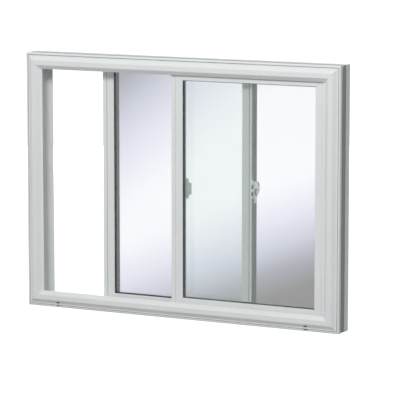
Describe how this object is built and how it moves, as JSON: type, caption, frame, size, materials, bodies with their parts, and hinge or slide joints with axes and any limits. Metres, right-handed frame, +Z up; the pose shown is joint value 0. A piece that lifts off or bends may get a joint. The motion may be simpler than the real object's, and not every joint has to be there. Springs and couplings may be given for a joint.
{
  "type": "horizontal sliding window",
  "caption": "White vinyl horizontal sliding window: mitred moulded frame, double-glazed sashes that slide past each other in parallel tracks, with a cam lock and keeper on the meeting stiles.",
  "frame": {"origin": "middle of the underside of the sill", "axes": "+X along the width, to the right as seen from outside; +Y from outside into the room; +Z up"},
  "size_m": [1.219, 0.092, 0.914],
  "materials": {
    "vinyl": "satin extruded white",
    "glass": "clear float glass",
    "glazing_rubber": "black extruded",
    "roller_nylon": "moulded nylon",
    "track_aluminium": "mill extruded",
    "lock_casting": "grey enamel on die casting"
  },
  "bodies": {
    "frame": {"frame_head": "vinyl", "frame_sill": "vinyl", "frame_left_jamb": "vinyl", "frame_right_jamb": "vinyl", "left_outer_jamb_liner": "vinyl", "left_inner_jamb_liner": "vinyl", "right_outer_jamb_liner": "vinyl", "right_inner_jamb_liner": "vinyl", "left_jamb_room_stop": "vinyl", "right_jamb_room_stop": "vinyl", "left_jamb_front_stop": "vinyl", "right_jamb_front_stop": "vinyl", "outer_sill_track": "track_aluminium", "inner_sill_track": "track_aluminium", "left_weep_cover": "vinyl", "right_weep_cover": "vinyl"},
    "outer_sash": {"outer_sash_top_rail": "vinyl", "outer_sash_bottom_rail": "vinyl", "outer_sash_left_stile": "vinyl", "outer_sash_right_stile": "vinyl", "outer_sash_outside_pane": "glass", "outer_sash_room_pane": "glass", "outer_sash_spacer": "glazing_rubber", "outer_sash_outside_gasket": "glazing_rubber", "outer_sash_room_gasket": "glazing_rubber", "outer_sash_left_roller": "roller_nylon", "outer_sash_right_roller": "roller_nylon", "lock_keeper": "lock_casting"},
    "inner_sash": {"inner_sash_top_rail": "vinyl", "inner_sash_bottom_rail": "vinyl", "inner_sash_left_stile": "vinyl", "inner_sash_right_stile": "vinyl", "inner_sash_outside_pane": "glass", "inner_sash_room_pane": "glass", "inner_sash_spacer": "glazing_rubber", "inner_sash_outside_gasket": "glazing_rubber", "inner_sash_room_gasket": "glazing_rubber", "inner_sash_left_roller": "roller_nylon", "inner_sash_right_roller": "roller_nylon", "lock_base": "lock_casting"},
    "lock_lever": {"lock_lever": "lock_casting"}
  },
  "joints": [
    {"name": "outer_sash_slide", "type": "slide", "parent": "frame", "child": "outer_sash", "axis": [1, 0, 0], "range_m": [-0.5355, 0.011]},
    {"name": "inner_sash_slide", "type": "slide", "parent": "frame", "child": "inner_sash", "axis": [1, 0, 0], "range_m": [-0.2435, 0.284]},
    {"name": "lock_lever_turn", "type": "hinge", "parent": "inner_sash", "child": "lock_lever", "pos_m": [0.2655, 0.02, 0.459], "axis": [-1, 0, 0], "range_deg": [0, 180]}
  ]
}
